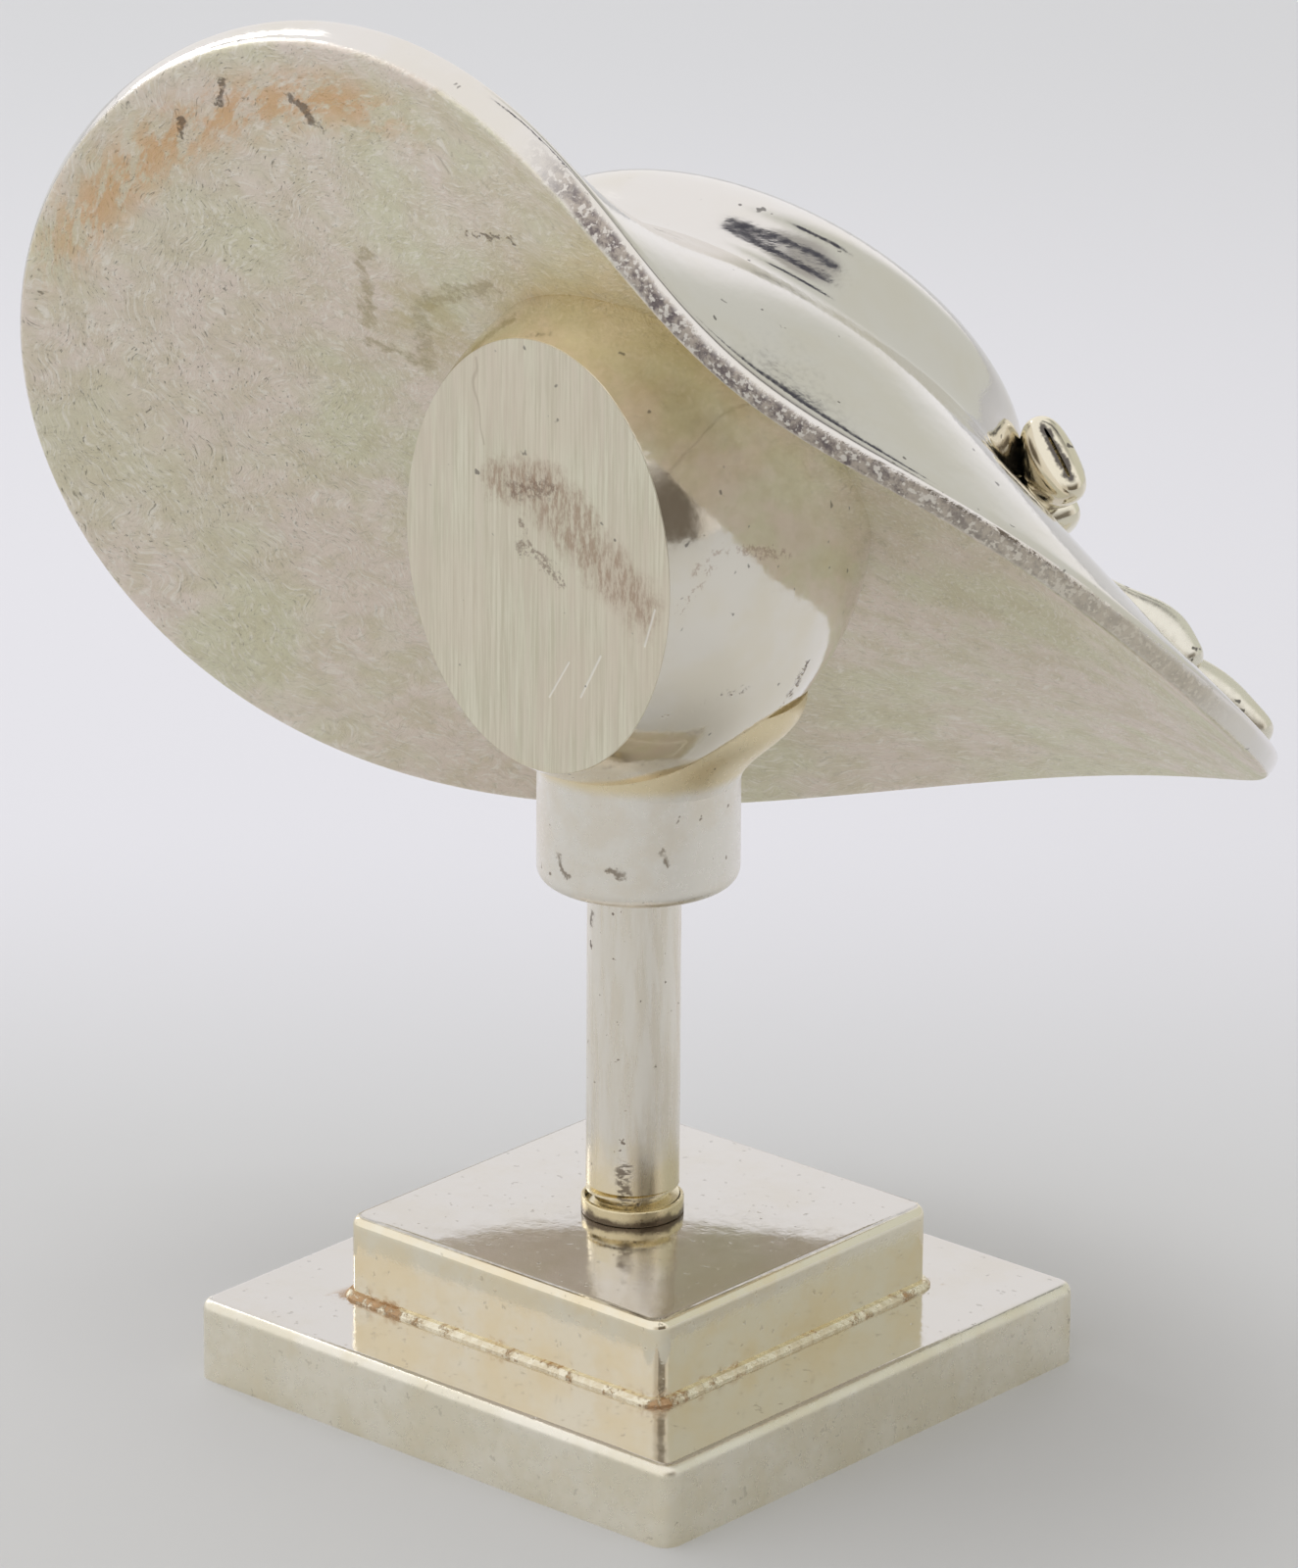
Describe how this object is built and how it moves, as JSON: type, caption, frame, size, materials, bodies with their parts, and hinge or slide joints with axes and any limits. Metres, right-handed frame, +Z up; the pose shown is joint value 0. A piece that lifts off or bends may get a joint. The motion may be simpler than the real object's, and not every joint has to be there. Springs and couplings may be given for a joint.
{
  "type": "hood ornament",
  "caption": "Polished silver-plated mascot: a faceless egg-shaped head in a wide wavy-brimmed hat, on a screwed stem and a stepped square base.",
  "frame": {"origin": "centre of the base plate's underside", "axes": "+Z up, the flat face looks along -Y, the wearer's left is +X"},
  "size_m": [0.0817, 0.0588, 0.0891],
  "materials": {
    "silver_plate": "silver-plated, polished",
    "base_silver": "silver-plated, polished",
    "solder": "dull solder"
  },
  "bodies": {
    "base": {"base_plate": "base_silver", "base_block": "base_silver", "base_solder_bead": "solder"},
    "ring": {"foot_ring": "solder"},
    "mascot": {"stem": "silver_plate", "stem_solder_ring": "solder", "neck": "silver_plate", "head": "silver_plate", "hat": "silver_plate", "bow_knot": "silver_plate", "bow_loop_front": "silver_plate", "bow_loop_back": "silver_plate", "bow_tail_long": "silver_plate", "bow_tail_short": "silver_plate"}
  },
  "joints": [
    {"name": "lift", "type": "slide", "parent": "base", "child": "ring", "axis": [0, 0, 1], "range_m": [0, 0.00802]},
    {"name": "turn", "type": "hinge", "parent": "ring", "child": "mascot", "pos_m": [-0.0003, -0.0003, 0.011], "axis": [0, 0, 1], "range_deg": [0, 2880]}
  ],
  "couplings": [
    {"joint": "lift", "follows": "turn", "m_per_rad": 0.00015915}
  ]
}
